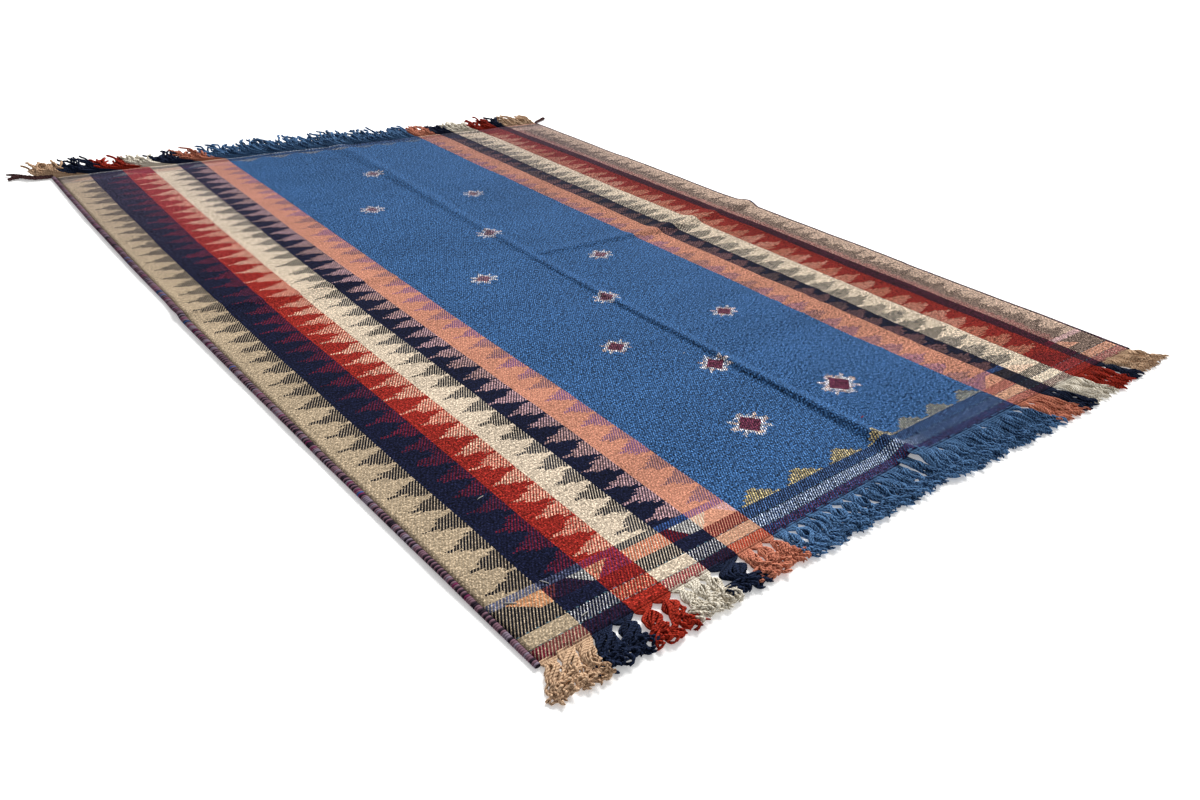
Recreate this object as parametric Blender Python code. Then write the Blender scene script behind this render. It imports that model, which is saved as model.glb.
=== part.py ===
"""Striped flat-woven rug, laid out on a floor, with a cord along each side and a fringe at each end.

X runs across the rug, Y along it and Z up. The near end is at low Y. The floor is z = 0 and the
middle of the rug is the origin. All sizes are in metres.
"""

import math
import random

import bpy

# Cloth
CLOTH_T = 0.003
HALF_LENGTH = 0.950
GAP = 0.0003

# Side cords: the outline of one as shares of its width and height, flat underneath
CORD_OUTLINE = (
    (-0.26, 0.0), (0.26, 0.0), (0.50, 0.26), (0.50, 0.62),
    (0.24, 1.0), (-0.24, 1.0), (-0.50, 0.62), (-0.50, 0.26),
)
TAIL_REACH_X = 0.766
TAIL_ROOT_TOP = 0.0050

# Fringes
FRINGE_REACH_Y = 1.024
BACKING_W = 0.005
STRAND_JITTER = 0.006
STRAND_GAP = 0.0006
LOCK_JITTER = 0.25
BASE_DROP = 1.3
LONGEST_PLACE = 0.75
SEED = 4

# Where the two sides of the cloth run: one row for each place along the rug
SIDE_COLUMNS = ("y", "left_x", "right_x")
SIDES = (
    (-0.950, -0.694, 0.697),
    (-0.800, -0.697, 0.700),
    (-0.480, -0.702, 0.699),
    (-0.200, -0.705, 0.701),
    (0.030, -0.707, 0.703),
    (0.130, -0.703, 0.699),
    (0.300, -0.704, 0.699),
    (0.620, -0.701, 0.698),
    (0.950, -0.693, 0.697),
)

# How far the near end is drawn in: one row for each place across the rug
END_COLUMNS = ("x", "near_y", "far_y")
ENDS = (
    (-0.72, -0.950, 0.950),
    (-0.46, -0.946, 0.949),
    (-0.22, -0.942, 0.948),
    (0.02, -0.937, 0.947),
    (0.26, -0.942, 0.948),
    (0.46, -0.945, 0.949),
    (0.72, -0.950, 0.950),
)

# Creases: one row for each place along a crest, with its height there and how wide its slopes are
# on the side of the lower and of the higher values
RIDGE_COLUMNS = ("along", "crest", "height", "low_width", "high_width")

# The lengthwise crease where the rug was folded in half: along is y, crest is x
LONG_CREASE = (
    (-0.950, 0.000, 0.0170, 0.060, 0.038),
    (-0.905, -0.001, 0.0150, 0.046, 0.034),
    (-0.865, -0.003, 0.0125, 0.030, 0.032),
    (-0.760, -0.005, 0.0105, 0.025, 0.030),
    (-0.560, -0.010, 0.0085, 0.022, 0.028),
    (-0.300, -0.013, 0.0060, 0.020, 0.026),
    (-0.050, -0.015, 0.0045, 0.019, 0.026),
    (0.250, -0.006, 0.0045, 0.026, 0.028),
    (0.500, 0.004, 0.0060, 0.030, 0.032),
    (0.760, 0.016, 0.0060, 0.040, 0.036),
    (0.950, 0.016, 0.0040, 0.046, 0.040),
)

# The crease across the middle, highest at the right: along is x, crest is y
CROSS_CREASE = (
    (-0.72, 0.060, 0.0030, 0.018, 0.036),
    (-0.44, 0.048, 0.0030, 0.018, 0.036),
    (-0.28, 0.030, 0.0012, 0.018, 0.036),
    (-0.02, 0.000, 0.0012, 0.018, 0.036),
    (0.02, -0.004, 0.0042, 0.016, 0.036),
    (0.28, -0.008, 0.0046, 0.018, 0.038),
    (0.36, -0.010, 0.0080, 0.030, 0.042),
    (0.48, 0.004, 0.0085, 0.034, 0.046),
    (0.60, 0.018, 0.0070, 0.034, 0.046),
    (0.72, 0.030, 0.0080, 0.034, 0.050),
)

# The soft ridge under the narrow dark stripe at the right: along is y, crest is x
RIGHT_RIDGE = (
    (-0.950, 0.590, 0.0000, 0.050, 0.050),
    (-0.780, 0.590, 0.0030, 0.050, 0.050),
    (-0.400, 0.588, 0.0050, 0.050, 0.054),
    (0.000, 0.586, 0.0060, 0.052, 0.058),
    (0.400, 0.580, 0.0050, 0.050, 0.054),
    (0.780, 0.572, 0.0030, 0.050, 0.050),
    (0.950, 0.570, 0.0000, 0.050, 0.050),
)

# Thickness of the two side cords: one row for each place along the rug
CORD_COLUMNS = ("y", "left_w", "left_h", "right_w", "right_h")
CORD_SIZES = (
    (-0.950, 0.0085, 0.0050, 0.0070, 0.0050),
    (-0.700, 0.0105, 0.0060, 0.0060, 0.0045),
    (-0.350, 0.0115, 0.0068, 0.0060, 0.0045),
    (0.000, 0.0125, 0.0070, 0.0060, 0.0045),
    (0.400, 0.0120, 0.0068, 0.0055, 0.0045),
    (0.800, 0.0105, 0.0062, 0.0055, 0.0045),
    (0.950, 0.0095, 0.0058, 0.0060, 0.0045),
)

# Grid lines of the cloth, closer together at the creases
GRID_X = (
    -0.58, -0.46, -0.34, -0.22, -0.12, -0.065, -0.040, -0.022, -0.008, 0.006, 0.020,
    0.040, 0.09, 0.16, 0.26, 0.36, 0.46, 0.54, 0.585, 0.63,
)
GRID_Y = (
    -0.90, -0.84, -0.76, -0.66, -0.56, -0.44, -0.32, -0.20, -0.11, -0.055, -0.030,
    -0.005, 0.020, 0.045, 0.070, 0.12, 0.22, 0.34, 0.46, 0.56, 0.70, 0.84,
)
ROWS_Y = (-HALF_LENGTH,) + GRID_Y + (HALF_LENGTH,)

# Each stripe: where it ends at the near and the far edge, and its bundles of warp ends
STRIPE_COLUMNS = (
    "name", "yarn", "near_x", "far_x", "near_bundles", "near_strands",
    "far_bundles", "far_strands", "tuft",
)
STRIPES = (
    ("beige_left", "beige", -0.625, -0.625, 3, 3, 2, 3, 0.022),
    ("navy_left", "navy", -0.564, -0.5475, 2, 3, 3, 2, 0.022),
    ("red_left", "red", -0.507, -0.485, 2, 3, 2, 2, 0.016),
    ("white_left", "white", -0.4425, -0.421, 3, 2, 2, 2, 0.014),
    ("navy_inner", "navy", -0.391, -0.361, 1, 4, 2, 2, 0.018),
    ("salmon_left", "salmon", -0.3255, -0.296, 3, 2, 2, 2, 0.018),
    ("blue", "blue", 0.287, 0.268, 26, 2, 20, 2, 0.018),
    ("salmon_right", "salmon", 0.364, 0.341, 3, 2, 3, 2, 0.018),
    ("navy_right", "navy", 0.408, 0.393, 2, 2, 2, 2, 0.018),
    ("white_right", "white", 0.487, 0.478, 2, 3, 3, 2, 0.018),
    ("red_right", "red", 0.563, 0.552, 3, 2, 2, 2, 0.018),
    ("navy_narrow", "navy", 0.589, 0.584, 1, 2, 1, 2, 0.018),
    ("beige_right", "beige", 0.697, 0.697, 3, 3, 3, 2, 0.016),
)

# How the strands lean by their tips, and how far short of the full reach they stop
LEAN_COLUMNS = ("x", "near_shift", "near_short", "far_shift", "far_short")
LEANS = (
    (-0.72, -0.020, 0.015, -0.012, 0.006),
    (-0.62, -0.026, 0.012, -0.010, 0.004),
    (-0.54, -0.012, 0.012, -0.006, 0.006),
    (-0.50, 0.000, 0.015, 0.000, 0.010),
    (-0.38, -0.008, 0.016, 0.000, 0.010),
    (-0.30, 0.012, 0.014, 0.000, 0.008),
    (-0.05, 0.020, 0.010, 0.004, 0.004),
    (0.12, 0.014, 0.003, 0.004, 0.006),
    (0.28, 0.030, 0.000, 0.008, 0.004),
    (0.42, 0.018, 0.003, 0.004, 0.008),
    (0.56, 0.018, 0.006, 0.006, 0.006),
    (0.61, 0.036, 0.008, 0.010, 0.006),
    (0.72, 0.040, 0.008, 0.016, 0.008),
)

# A strand's shape along its length: each row is one place, the last row its full reach
SHAPE_COLUMNS = ("share", "near_pinch", "far_pinch", "near_top", "far_rise")
STRAND_SHAPE = (
    (0.00, 1.00, 1.00, 0.0030, 0.00),
    (0.38, 0.70, 0.80, 0.0085, 0.55),
    (0.74, 0.88, 0.92, 0.0100, 1.00),
    (1.00, 0.97, 0.97, 0.0060, 0.75),
)

# The loose ends of the side cords at the far corners: one row for each place along a tail
TAIL_COLUMNS = ("out", "along", "turn", "width", "top")
LEFT_TAILS = (
    (
        (0.014, 0.008, 58.0, 0.0048, 0.0060),
        (0.036, 0.018, 66.0, 0.0046, 0.0060),
        (0.060, 0.026, 78.0, 0.0066, 0.0075),
    ),
    (
        (0.008, 0.022, 34.0, 0.0026, 0.0045),
        (0.026, 0.036, 62.0, 0.0026, 0.0040),
        (0.050, 0.042, 80.0, 0.0024, 0.0030),
    ),
)
RIGHT_TAILS = (
    (
        (0.014, 0.010, 56.0, 0.0050, 0.0060),
        (0.036, 0.020, 66.0, 0.0052, 0.0065),
        (0.056, 0.028, 74.0, 0.0062, 0.0070),
    ),
)

COLORS = {
    "weave": (0.10, 0.20, 0.36),
    "edge_cord": (0.10, 0.07, 0.11),
    "beige": (0.53, 0.42, 0.30),
    "navy": (0.03, 0.04, 0.09),
    "red": (0.42, 0.06, 0.04),
    "white": (0.66, 0.62, 0.50),
    "salmon": (0.66, 0.27, 0.17),
    "blue": (0.09, 0.20, 0.38),
}
ROUGHNESS = 0.9


def clear_scene():
    for thing in list(bpy.data.objects):
        bpy.data.objects.remove(thing)


def read_table(rows, at, column):
    """The column's value at a place, straight between the two rows around it."""
    if at <= rows[0][0]:
        return rows[0][column]
    for low, high in zip(rows, rows[1:]):
        if at <= high[0]:
            share = (at - low[0]) / (high[0] - low[0])
            return low[column] + share * (high[column] - low[column])
    return rows[-1][column]


def near_y(x):
    return read_table(ENDS, x, END_COLUMNS.index("near_y"))


def far_y(x):
    return read_table(ENDS, x, END_COLUMNS.index("far_y"))


def left_x(y):
    return read_table(SIDES, y, SIDE_COLUMNS.index("left_x"))


def right_x(y):
    return read_table(SIDES, y, SIDE_COLUMNS.index("right_x"))


def ridge(rows, along, across):
    """Height of a soft ridge whose crest follows a table of places."""
    crest = read_table(rows, along, RIDGE_COLUMNS.index("crest"))
    height = read_table(rows, along, RIDGE_COLUMNS.index("height"))
    slope = "low_width" if across < crest else "high_width"
    width = read_table(rows, along, RIDGE_COLUMNS.index(slope))
    share = min(1.0, abs(across - crest) / width)
    return height * (1.0 - share) ** 2 * (1.0 + 2.0 * share)


def lift(x, y):
    """How far the underside of the cloth is off the floor."""
    return max(
        ridge(LONG_CREASE, y, x),
        ridge(CROSS_CREASE, x, y),
        ridge(RIGHT_RIDGE, y, x),
    )


def make_materials():
    made = {}
    for name, color in COLORS.items():
        material = bpy.data.materials.new(name)
        material.use_nodes = True
        shader = material.node_tree.nodes["Principled BSDF"]
        shader.inputs["Base Color"].default_value = (*color, 1.0)
        shader.inputs["Roughness"].default_value = ROUGHNESS
        made[name] = material
    return made


def add_object(name, points, faces, material, collection):
    mesh = bpy.data.meshes.new(name)
    mesh.from_pydata(points, [], faces)
    mesh.materials.append(material)
    mesh.validate()
    thing = bpy.data.objects.new(name, mesh)
    collection.objects.link(thing)
    return thing


def cloth_points():
    """Grid points of the cloth: its top face, then its underside."""
    top = []
    bottom = []
    for row, y_line in enumerate(ROWS_Y):
        columns = (left_x(y_line),) + GRID_X + (right_x(y_line),)
        for x in columns:
            y = y_line
            if row == 0:
                y = near_y(x)
            elif row == len(ROWS_Y) - 1:
                y = far_y(x)
            height = lift(x, y)
            top.append((x, y, height + CLOTH_T))
            bottom.append((x, y, height))
    return top, bottom


def build_cloth(materials, collection):
    top, bottom = cloth_points()
    across = len(GRID_X) + 2
    along = len(ROWS_Y)
    under = len(top)
    faces = []
    for j in range(along - 1):
        for i in range(across - 1):
            a = j * across + i
            b = a + 1
            c = b + across
            d = a + across
            faces.append((a, b, c, d))
            faces.append((under + d, under + c, under + b, under + a))
    rim = list(range(across - 1))
    rim += [j * across + across - 1 for j in range(along - 1)]
    rim += [(along - 1) * across + i for i in range(across - 1, 0, -1)]
    rim += [j * across for j in range(along - 1, 0, -1)]
    for a, b in zip(rim, rim[1:] + rim[:1]):
        faces.append((a, under + a, under + b, b))
    add_object("rug_body", top + bottom, faces, materials["weave"], collection)


def cord_section(middle_x, base_z, width, height):
    """One outline of a side cord, as (x, z)."""
    return [(middle_x + u * width, base_z + v * height) for u, v in CORD_OUTLINE]


def cord_size(side, y):
    """Width and height of a side cord at a place along the rug."""
    width = read_table(CORD_SIZES, y, CORD_COLUMNS.index(side + "_w"))
    height = read_table(CORD_SIZES, y, CORD_COLUMNS.index(side + "_h"))
    return width, height


def build_cord(side, materials, collection):
    """A side cord: outlines one after another along the edge of the cloth."""
    points = []
    for y in ROWS_Y:
        width, height = cord_size(side, y)
        if side == "left":
            edge = left_x(y)
            middle = edge - GAP - width / 2
        else:
            edge = right_x(y)
            middle = edge + GAP + width / 2
        for x, z in cord_section(middle, lift(edge, y), width, height):
            points.append((x, y, z))
    faces = tube_faces(len(ROWS_Y), len(CORD_OUTLINE))
    add_object("edge_cord_" + side, points, faces, materials["edge_cord"], collection)


def tube_faces(rings, sides):
    """Faces of a closed tube whose rings turn from +X up to +Z and back, and run towards +Y."""
    faces = [tuple(range(sides))]
    for ring in range(rings - 1):
        start = ring * sides
        for k in range(sides):
            after = (k + 1) % sides
            faces.append((start + after, start + k, start + sides + k, start + sides + after))
    last = (rings - 1) * sides
    faces.append(tuple(last + k for k in reversed(range(sides))))
    return faces


def fringe_stations(start_x, end_x, bundles, strands, dice):
    """Root lines of a fringe from left to right, and the middle of each strand's bundle."""
    lines = [start_x]
    middles = []
    bundle_w = (end_x - start_x) / bundles
    for b in range(bundles):
        first = start_x + b * bundle_w
        shares = [1.0 + LOCK_JITTER * dice.uniform(-1.0, 1.0) for _ in range(strands)]
        total = sum(shares)
        for k, share in enumerate(shares):
            middles.append(first + bundle_w / 2)
            is_last = k == strands - 1
            lines.append(first + bundle_w if is_last else lines[-1] + bundle_w * share / total)
    return lines, middles


def strand_ring(a, b, middle, row, end, tuft):
    """The four corners of a strand at one row of its shape table."""
    t = row[SHAPE_COLUMNS.index("share")]
    pinch = row[SHAPE_COLUMNS.index(end + "_pinch")]
    if end == "near":
        root_y = near_y(middle) - GAP - BACKING_W
        reach_y = -FRINGE_REACH_Y
        top = row[SHAPE_COLUMNS.index("near_top")]
    else:
        root_y = far_y(middle) + GAP + BACKING_W
        reach_y = FRINGE_REACH_Y
        top = CLOTH_T + row[SHAPE_COLUMNS.index("far_rise")] * (tuft - CLOTH_T)
    left = middle + (a - middle) * pinch + STRAND_GAP
    right = middle + (b - middle) * pinch - STRAND_GAP
    shift_column = LEAN_COLUMNS.index(end + "_shift")
    left += t * read_table(LEANS, left, shift_column)
    right += t * read_table(LEANS, right, shift_column)
    y = root_y + t * (reach_y - root_y)
    base = lift(middle, root_y) * max(0.0, 1.0 - BASE_DROP * t)
    return [(left, y, base), (right, y, base), (right, y, base + top), (left, y, base + top)]


def cut_short(before, ring, short):
    """The last ring of a strand, drawn back along its own run by a length."""
    whole = abs(ring[0][1] - before[0][1])
    share = 1.0 - short / whole
    return [
        tuple(p + share * (q - p) for p, q in zip(start, stop))
        for start, stop in zip(before, ring)
    ]


def backing_faces(a):
    """Faces of one stretch of a backing strip, all but the side its strand grows from."""
    b = a + 4
    return [(a, a + 1, b + 1, b), (a + 1, a + 3, b + 3, b + 1), (a, b, b + 2, a + 2)]


def grow_strand(points, faces, ring, rings):
    """Adds a strand's rings to a mesh, from its root ring on, and closes its tip."""
    for corners in rings:
        fresh = list(range(len(points), len(points) + 4))
        points += corners
        for k in range(4):
            n = (k + 1) % 4
            faces.append((ring[k], ring[n], fresh[n], fresh[k]))
        ring = fresh
    faces.append(tuple(ring))


def build_fringe(stripe, start_x, end, materials, collection, dice):
    """The warp ends of one stripe: strands that grow out of a narrow backing strip."""
    name = stripe[STRIPE_COLUMNS.index("name")]
    yarn = stripe[STRIPE_COLUMNS.index("yarn")]
    tuft = stripe[STRIPE_COLUMNS.index("tuft")]
    end_x = stripe[STRIPE_COLUMNS.index(end + "_x")]
    bundles = stripe[STRIPE_COLUMNS.index(end + "_bundles")]
    strands = stripe[STRIPE_COLUMNS.index(end + "_strands")]
    outward = -1.0 if end == "near" else 1.0
    edge_y = near_y if end == "near" else far_y
    lines, middles = fringe_stations(start_x + GAP / 2, end_x - GAP / 2, bundles, strands, dice)

    points = []
    for x in lines:
        inner = edge_y(x) + outward * GAP
        outer = inner + outward * BACKING_W
        base = lift(x, edge_y(x))
        points += [
            (x, inner, base), (x, inner, base + CLOTH_T),
            (x, outer, base), (x, outer, base + CLOTH_T),
        ]
    faces = []
    longest = int(len(middles) * LONGEST_PLACE) if name == "blue" else None
    for i, middle in enumerate(middles):
        faces += backing_faces(4 * i)
        rings = [
            strand_ring(lines[i], lines[i + 1], middle, row, end, tuft) for row in STRAND_SHAPE[1:]
        ]
        short = read_table(LEANS, middle, LEAN_COLUMNS.index(end + "_short"))
        short += STRAND_JITTER * dice.random()
        if i == longest:
            short = 0.0
        rings[-1] = cut_short(rings[-2], rings[-1], short)
        root = [4 * i + 2, 4 * i + 6, 4 * i + 7, 4 * i + 3]
        grow_strand(points, faces, root, rings)
    faces += strip_ends(4 * len(middles))
    if end == "far":
        faces = [tuple(reversed(face)) for face in faces]
    add_object(f"fringe_{end}_{name}", points, faces, materials[yarn], collection)


def strip_ends(last):
    """The two end faces of a backing strip."""
    return [(0, 2, 3, 1), (last, last + 1, last + 3, last + 2)]


def build_fringes(materials, collection):
    dice = random.Random(SEED)
    for end in ("near", "far"):
        start_x = left_x(-HALF_LENGTH) if end == "near" else left_x(HALF_LENGTH)
        for stripe in STRIPES:
            build_fringe(stripe, start_x, end, materials, collection, dice)
            start_x = stripe[STRIPE_COLUMNS.index(end + "_x")]


def tail_ring(root_x, root_y, row, sign):
    """The four corners of a cord tail at one row of its table, turned outwards by its angle."""
    out, along, turn, width, top = row
    x = root_x + sign * out
    y = root_y + along
    side_x = math.cos(math.radians(turn)) * width / 2
    side_y = -sign * math.sin(math.radians(turn)) * width / 2
    left = (x - side_x, y - side_y)
    right = (x + side_x, y + side_y)
    return [(*left, 0.0), (*right, 0.0), (*right, top), (*left, top)]


def build_tails(side, tails, materials, collection):
    """The loose ends beyond a side cord's far end, fused at a short root."""
    sign = -1.0 if side == "left" else 1.0
    width, _ = cord_size(side, HALF_LENGTH)
    edge = left_x(HALF_LENGTH) if side == "left" else right_x(HALF_LENGTH)
    start_x = edge - GAP - width if side == "left" else edge + GAP
    root_w = width / len(tails)
    start_y = HALF_LENGTH + GAP
    root_y = start_y + BACKING_W
    points = []
    for i in range(len(tails) + 1):
        x = start_x + root_w * i
        points += [
            (x, start_y, 0.0), (x, start_y, TAIL_ROOT_TOP),
            (x, root_y, 0.0), (x, root_y, TAIL_ROOT_TOP),
        ]
    faces = []
    stretch = (TAIL_REACH_X - abs(edge)) / (width / 2 + tails[0][-1][TAIL_COLUMNS.index("out")])
    for i, rows in enumerate(tails):
        faces += backing_faces(4 * i)
        middle = start_x + root_w * (i + 0.5)
        rings = [tail_ring(middle, root_y, (row[0] * stretch,) + row[1:], sign) for row in rows]
        grow_strand(points, faces, [4 * i + 2, 4 * i + 6, 4 * i + 7, 4 * i + 3], rings)
    faces += strip_ends(4 * len(tails))
    faces = [tuple(reversed(face)) for face in faces]
    add_object("cord_tail_" + side, points, faces, materials["edge_cord"], collection)


def main():
    clear_scene()
    collection = bpy.data.collections.new("striped_rug")
    bpy.context.scene.collection.children.link(collection)
    materials = make_materials()
    build_cloth(materials, collection)
    build_cord("left", materials, collection)
    build_cord("right", materials, collection)
    build_tails("left", LEFT_TAILS, materials, collection)
    build_tails("right", RIGHT_TAILS, materials, collection)
    build_fringes(materials, collection)


main()
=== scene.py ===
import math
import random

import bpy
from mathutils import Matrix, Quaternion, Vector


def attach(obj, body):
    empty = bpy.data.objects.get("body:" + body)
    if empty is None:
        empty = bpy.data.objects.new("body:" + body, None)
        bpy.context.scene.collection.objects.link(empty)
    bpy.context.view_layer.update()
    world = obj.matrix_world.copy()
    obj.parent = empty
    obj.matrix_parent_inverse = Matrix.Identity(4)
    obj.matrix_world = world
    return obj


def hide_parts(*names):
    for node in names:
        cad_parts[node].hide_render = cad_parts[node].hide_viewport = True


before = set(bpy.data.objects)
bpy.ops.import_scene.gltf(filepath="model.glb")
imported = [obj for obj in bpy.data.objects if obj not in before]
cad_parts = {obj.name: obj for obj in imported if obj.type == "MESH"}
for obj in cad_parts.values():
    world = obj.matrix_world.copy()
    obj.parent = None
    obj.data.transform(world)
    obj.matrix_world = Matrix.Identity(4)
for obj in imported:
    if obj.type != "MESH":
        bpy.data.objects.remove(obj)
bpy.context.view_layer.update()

# The looks of a striped flat-woven rug that lies on a pale floor. X runs across the rug, Y along it
# and Z up, in metres. The near end is at low Y. The weave is painted in loom places: "across" is
# measured from the left side as it is at the near end, "along" is Y with both ends drawn straight.

BODY = "root"
SIGNS = {"left": -1.0, "right": 1.0}


class Table:
    """Rows of values under named columns. The first column is the place that rows are read at."""

    def __init__(self, columns, *rows):
        self.columns = columns.split()
        self.rows = rows

    def column(self, name):
        place = self.columns.index(name)
        return [row[place] for row in self.rows]

    def read(self, at, name):
        """The value of a column at a place, straight between the two rows around it."""
        place = self.columns.index(name)
        if at <= self.rows[0][0]:
            return self.rows[0][place]
        for low, high in zip(self.rows, self.rows[1:]):
            if at <= high[0]:
                share = (at - low[0]) / (high[0] - low[0])
                return low[place] + share * (high[place] - low[place])
        return self.rows[-1][place]


def crease(low_width, high_width, *places):
    """A crease with even slopes: each place is along, crest and height."""
    return Table(RIDGE, *((*place, low_width, high_width) for place in places))


# Cloth: its thickness, half its length, the gap beside it, how far from its ends it is drawn in,
# the size of its grid, and how near the long and the cross crease the grid is finer
CLOTH_T = 0.003
HALF_LENGTH = 0.950
GAP = 0.0003
END_DRAW = 0.067
CLOTH_STEP = 0.0085
LONG_REFINED = (0.075, 0.035)
CROSS_REFINED = (0.01, 0.07)

# Weave: one warp thread, one weft row, the threads of one slanting line, and how far both drift
WARP_W = 0.00112
WEFT_W = 0.00174
FLOAT_COUNT = 4.0
THREAD_DRIFT = 0.0020
ROW_DRIFT = 0.0036

# Light and dark of the weave: streaks of yarn from thread to thread, the painted highlight on the top
# and the painted shade on the side of a thread, slow light and dark bands, and the darkest factor
STREAK_STEP = (0.30, 0.70)
STREAK = 0.30
THREAD_TOP_HIGHLIGHT = 0.34
THREAD_SIDE_SHADE = 0.80
SLOW_BANDS = 0.55
DARKEST = 0.15

# Flecks of yarn: lumps per metre across, their shift, lumps per metre along, detail, roughness,
# where a lump starts and where it is full, its zero and its weight
GRAINS = (
    (250.0, 0.0, 220.0, 3.0, 0.75, 0.36, 0.64, 0.50, 0.42),
    (400.0, 5.0, 360.0, 0.0, 0.50, 0.58, 0.66, 0.16, 0.70),
)

# Coarse flecks on the stripes right of the blue one
SPECKLE_STEP = (0.40, 0.60)
RIGHT_SPECKLE = 0.18

# Where one lot of dye goes over into the next: teeth, the last stripe's teeth and the stars' combs
DYE_LOT = (0.44, 0.58)
LAST_TOOTH_LOT = (0.16, 0.36)
COMB_LOT = (0.46, 0.60)

# Teeth along the stripes: their spacing, the first one's place and half the width of a tip
TOOTH_PERIOD = 0.0443
FIRST_TOOTH_Y = -0.831
STEM_HALF = 0.0026

# Steps of a tooth: the share of its reach where a step ends, and how much wider it is below that
TOOTH_STEPS = ((0.68, 0.0065), (0.43, 0.0052), (0.22, 0.0050))

# Unevenness of the teeth: slow drift and single shift along the rug, luck of the steps and of the
# tip, fuller steps at the right, ragged rows, how far the last stripe's teeth are one solid band,
# and a reach that keeps the stripes without teeth from a division by zero
TOOTH_DRIFT = 0.022
TOOTH_SHIFT = 0.005
STEP_LUCK = 0.20
TIP_LUCK = 0.16
RIGHT_FULLER = 0.15
TOOTH_RAGGED = 0.22
FOOT_SHARE = 0.66
NO_REACH = 0.0001

# Ornate bands at the two ends, as distances from the cloth's end
END_BAND = 0.0207
LIGHT_BAND = (0.0229, 0.0428)
HATCH_BAND = 0.0450
LENS_ROW = (0.0670, 0.0920)
EDGE_BAND = 0.1045

# Twined lines: spacing, width and tint of their dots, how strongly they show, and their height
TWINE_DOT = 0.0136
TWINE_DOT_SHARE = 0.34
TWINE_DOT_TINT = 0.8
TWINE_SHARE = 0.70
TWINE_HEIGHT = 0.8

# Where the blue stripe's pale figures fade out beyond the crease, and by how much
FADED_X = (-0.02, 0.08)
FADING = 0.85

# The far end's bands: how much closer they are packed, where they start, and how dull they are
FAR_PACKING = 1.25
FAR_START = 0.0275
FAR_DULLNESS = 0.65

# Painted sheen: a dull grey veil over the far part of the stripes; and the dark patch in the near left
# corner
FAR_SHEEN = 0.20
SHEEN_Y = (0.00, 0.85)
CORNER_PATCH = 0.018

# Where the two sides of the cloth run: one row for each place along the rug
SIDES = Table(
    "y left_x right_x",
    (-0.950, -0.694, 0.697),
    (-0.800, -0.697, 0.700),
    (-0.480, -0.702, 0.699),
    (-0.200, -0.705, 0.701),
    (0.030, -0.707, 0.703),
    (0.130, -0.703, 0.699),
    (0.300, -0.704, 0.699),
    (0.620, -0.701, 0.698),
    (0.950, -0.693, 0.697),
)

# How far the ends are drawn in: one row for each place across the rug
ENDS = Table(
    "x near_y far_y",
    (-0.72, -0.950, 0.950),
    (-0.46, -0.946, 0.949),
    (-0.22, -0.942, 0.948),
    (0.02, -0.937, 0.947),
    (0.26, -0.942, 0.948),
    (0.46, -0.945, 0.949),
    (0.72, -0.950, 0.950),
)

# Creases: one row for each place along a crest, with its height there and how wide its slopes are
# on the side of the lower and of the higher values
RIDGE = "along crest height low_width high_width"

# The lengthwise crease where the rug was folded in half: along is y, crest is x
LONG_CREASE = Table(
    RIDGE,
    (-0.950, -0.003, 0.0170, 0.052, 0.036),
    (-0.905, -0.004, 0.0140, 0.036, 0.032),
    (-0.865, -0.006, 0.0100, 0.022, 0.030),
    (-0.760, -0.009, 0.0070, 0.014, 0.028),
    (-0.560, -0.013, 0.0055, 0.012, 0.028),
    (-0.300, -0.015, 0.0044, 0.012, 0.026),
    (-0.050, -0.016, 0.0036, 0.012, 0.026),
    (0.250, -0.006, 0.0036, 0.020, 0.028),
    (0.500, 0.004, 0.0050, 0.026, 0.032),
    (0.760, 0.016, 0.0050, 0.036, 0.036),
    (0.950, 0.016, 0.0040, 0.046, 0.040),
)

# The crease across the middle, highest at the right: along is x, crest is y
CROSS_CREASE = Table(
    RIDGE,
    (-0.72, 0.060, 0.0030, 0.018, 0.036),
    (-0.44, 0.048, 0.0030, 0.018, 0.036),
    (-0.28, 0.030, 0.0012, 0.018, 0.036),
    (-0.02, 0.000, 0.0012, 0.018, 0.036),
    (0.02, -0.004, 0.0042, 0.016, 0.036),
    (0.28, -0.008, 0.0046, 0.018, 0.038),
    (0.36, -0.010, 0.0080, 0.030, 0.042),
    (0.48, 0.004, 0.0085, 0.034, 0.046),
    (0.60, 0.018, 0.0070, 0.034, 0.046),
    (0.72, 0.030, 0.0080, 0.034, 0.050),
)

# The soft ridge under the narrow dark stripe at the right: along is y, crest is x
RIGHT_RIDGE = Table(
    RIDGE,
    (-0.950, 0.590, 0.0000, 0.050, 0.050),
    (-0.780, 0.590, 0.0030, 0.050, 0.050),
    (-0.400, 0.588, 0.0050, 0.050, 0.054),
    (0.000, 0.586, 0.0060, 0.052, 0.058),
    (0.400, 0.580, 0.0050, 0.050, 0.054),
    (0.780, 0.572, 0.0030, 0.050, 0.050),
    (0.950, 0.570, 0.0000, 0.050, 0.050),
)

# Faint creases across the rug, pressed into the cloth: the widths of their two slopes, then along
# (x), crest (y) and height
FAINT_CREASES = (
    crease(0.016, 0.024, (-0.72, 0.500, 0.0), (-0.40, 0.498, 0.0012), (0.72, 0.500, 0.0010)),
    crease(
        0.012, 0.020, (-0.72, -0.452, 0.0), (-0.10, -0.448, 0.0008), (0.03, -0.447, 0.0018),
        (0.27, -0.445, 0.0016), (0.72, -0.440, 0.0004),
    ),
    crease(
        0.014, 0.024, (-0.72, -0.520, 0.0), (-0.32, -0.520, 0.0010), (0.27, -0.512, 0.0014),
        (0.72, -0.510, 0.0002),
    ),
    crease(
        0.014, 0.024, (-0.72, -0.690, 0.0), (0.00, -0.686, 0.0008), (0.10, -0.684, 0.0016),
        (0.28, -0.690, 0.0014), (0.72, -0.700, 0.0002),
    ),
)

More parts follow.
